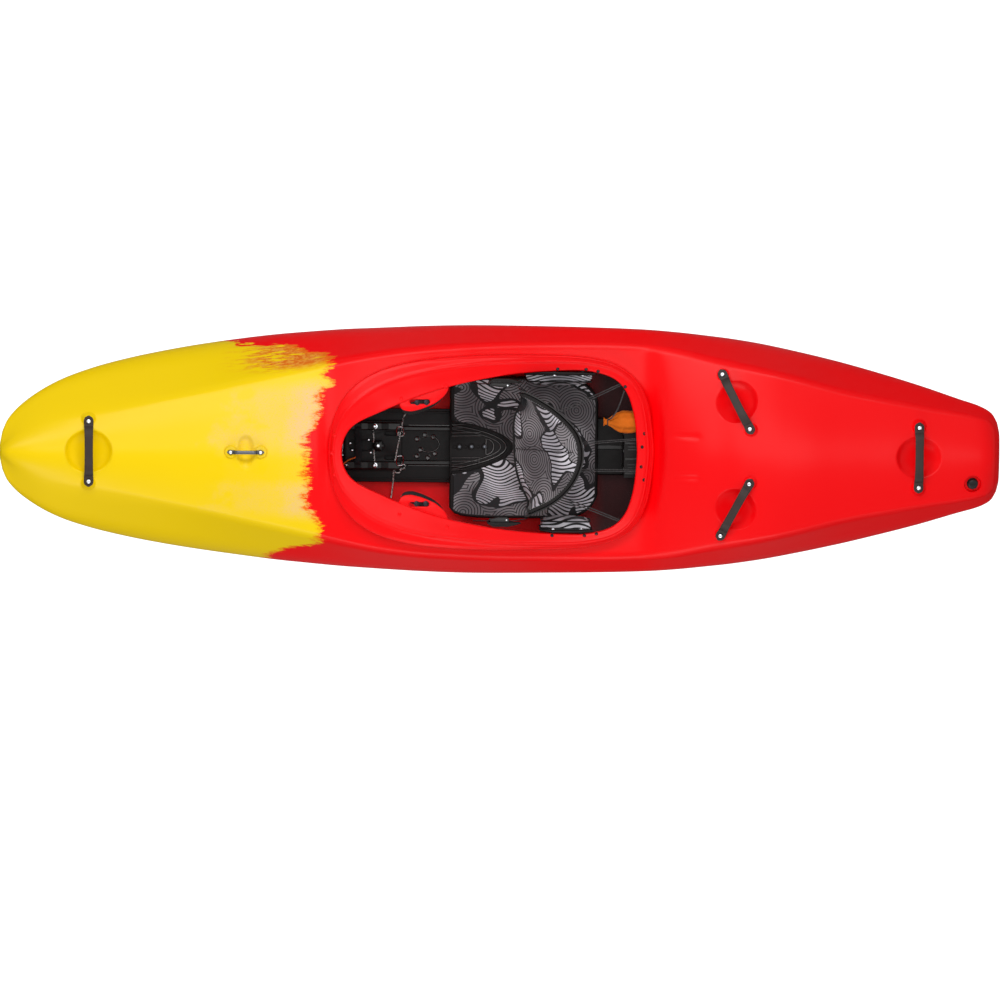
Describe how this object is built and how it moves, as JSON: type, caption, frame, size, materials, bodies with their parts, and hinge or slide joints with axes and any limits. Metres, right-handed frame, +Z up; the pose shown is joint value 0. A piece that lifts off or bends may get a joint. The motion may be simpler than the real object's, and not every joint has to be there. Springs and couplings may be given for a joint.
{
  "type": "whitewater kayak",
  "caption": "Whitewater creek kayak: rockered plastic hull with a cockpit, adjustable seat outfitting, grab handles, a safety bar and a drain plug.",
  "frame": {"origin": "centre of the bounding box at the lowest point of the hull bottom", "axes": "+X towards the stern, along the hull; +Y to starboard; +Z up, square to the flat hull bottom"},
  "size_m": [2.74, 0.6918, 0.4248],
  "materials": {
    "hull_plastic": "satin rotomoulded polyethylene, yellow at the bow blending to red",
    "black_plastic": "fine moulded texture",
    "handle_rubber": "matt, soft grip",
    "steel": "satin stainless",
    "black_bolt": "black oxide, low sheen",
    "seal_rubber": "matt",
    "foam": "closed-cell foam, fine cells",
    "printed_fabric": "woven, grey and white print on black",
    "cord": "braided sheath",
    "yellow_fabric": "coated nylon"
  },
  "bodies": {
    "kayak": {"hull_shell": "hull_plastic", "bow_grab_handle": "handle_rubber", "bow_grab_handle_bolt_1": "steel", "bow_grab_handle_bolt_2": "steel", "stern_grab_handle": "handle_rubber", "stern_grab_handle_bolt_1": "steel", "stern_grab_handle_bolt_2": "steel", "starboard_rear_handle": "handle_rubber", "starboard_rear_handle_bolt_1": "steel", "starboard_rear_handle_bolt_2": "steel", "port_rear_handle": "handle_rubber", "port_rear_handle_bolt_1": "steel", "port_rear_handle_bolt_2": "steel", "bow_safety_bar": "steel", "bow_safety_bar_bolt_1": "steel", "bow_safety_bar_bolt_2": "steel", "drain_fitting": "black_plastic", "floor_tray": "black_plastic", "starboard_hip_plate": "black_plastic", "starboard_hip_screw_1": "steel", "starboard_hip_screw_2": "steel", "starboard_hip_pad": "printed_fabric", "starboard_ratchet_base": "black_plastic", "port_hip_plate": "black_plastic", "port_hip_screw_1": "steel", "port_hip_screw_2": "steel", "port_hip_pad": "printed_fabric", "port_ratchet_base": "black_plastic", "rear_pillar": "black_plastic", "starboard_bungee": "cord", "port_bungee": "cord", "starboard_rear_cord": "cord", "port_rear_cord": "cord", "stow_bag": "yellow_fabric", "bag_cord": "cord"},
    "seat": {"seat_pan": "black_plastic", "seat_pad": "printed_fabric", "seat_bolt_1": "black_bolt", "seat_bolt_2": "black_bolt", "seat_bolt_3": "black_bolt"},
    "backband": {"backband_shell": "black_plastic", "backband_pad": "printed_fabric", "starboard_ladder_strap": "black_plastic", "port_ladder_strap": "black_plastic"},
    "starboard_lever": {"starboard_ratchet_lever": "black_plastic"},
    "port_lever": {"port_ratchet_lever": "black_plastic"},
    "bulkhead": {"bulkhead_sled": "black_plastic", "bulkhead_foot_plate": "black_plastic", "bulkhead_foam": "foam"},
    "knob": {"bulkhead_knob": "black_plastic"},
    "starboard_brace": {"starboard_thigh_brace": "black_plastic", "starboard_thigh_pad": "foam", "starboard_brace_bolt_1": "black_bolt", "starboard_brace_bolt_2": "black_bolt"},
    "port_brace": {"port_thigh_brace": "black_plastic", "port_thigh_pad": "foam", "port_brace_bolt_1": "black_bolt", "port_brace_bolt_2": "black_bolt"},
    "drain_carrier": {"drain_seal": "seal_rubber"},
    "drain": {"drain_plug": "black_plastic"}
  },
  "joints": [
    {"name": "seat_slide", "type": "slide", "parent": "kayak", "child": "seat", "axis": [1, 0, 0], "range_m": [-0.025, 0]},
    {"name": "backband_slide", "type": "slide", "parent": "kayak", "child": "backband", "axis": [1, 0, 0], "range_m": [0, 0.05], "deforming": ["starboard_bungee", "port_bungee", "starboard_rear_cord", "port_rear_cord"]},
    {"name": "starboard_lever_swing", "type": "hinge", "parent": "kayak", "child": "starboard_lever", "pos_m": [0.017, 0.1858, 0.296], "axis": [0, 0, 1], "range_deg": [0, 55]},
    {"name": "port_lever_swing", "type": "hinge", "parent": "kayak", "child": "port_lever", "pos_m": [0.017, -0.1858, 0.296], "axis": [0, 0, -1], "range_deg": [0, 55]},
    {"name": "bulkhead_slide", "type": "slide", "parent": "kayak", "child": "bulkhead", "axis": [1, 0, 0], "range_m": [-0.03, 0.1]},
    {"name": "knob_turn", "type": "hinge", "parent": "bulkhead", "child": "knob", "pos_m": [-0.345, 0, 0.05], "axis": [0, 0, 1], "continuous": true},
    {"name": "starboard_brace_slide", "type": "slide", "parent": "kayak", "child": "starboard_brace", "axis": [0.9821, 0, -0.1883], "range_m": [-0.01, 0.01]},
    {"name": "port_brace_slide", "type": "slide", "parent": "kayak", "child": "port_brace", "axis": [0.9821, 0, -0.1883], "range_m": [-0.01, 0.01]},
    {"name": "drain_lift", "type": "slide", "parent": "kayak", "child": "drain_carrier", "axis": [0.1054, -0.2496, 0.9626], "range_m": [0, 0.009]},
    {"name": "drain_turn", "type": "hinge", "parent": "drain_carrier", "child": "drain", "pos_m": [1.296, -0.072, 0.35663], "axis": [0.1054, -0.2496, 0.9626], "range_deg": [0, 1090]}
  ],
  "couplings": [
    {"joint": "drain_turn", "follows": "drain_lift", "rad_per_m": 2094.4}
  ]
}
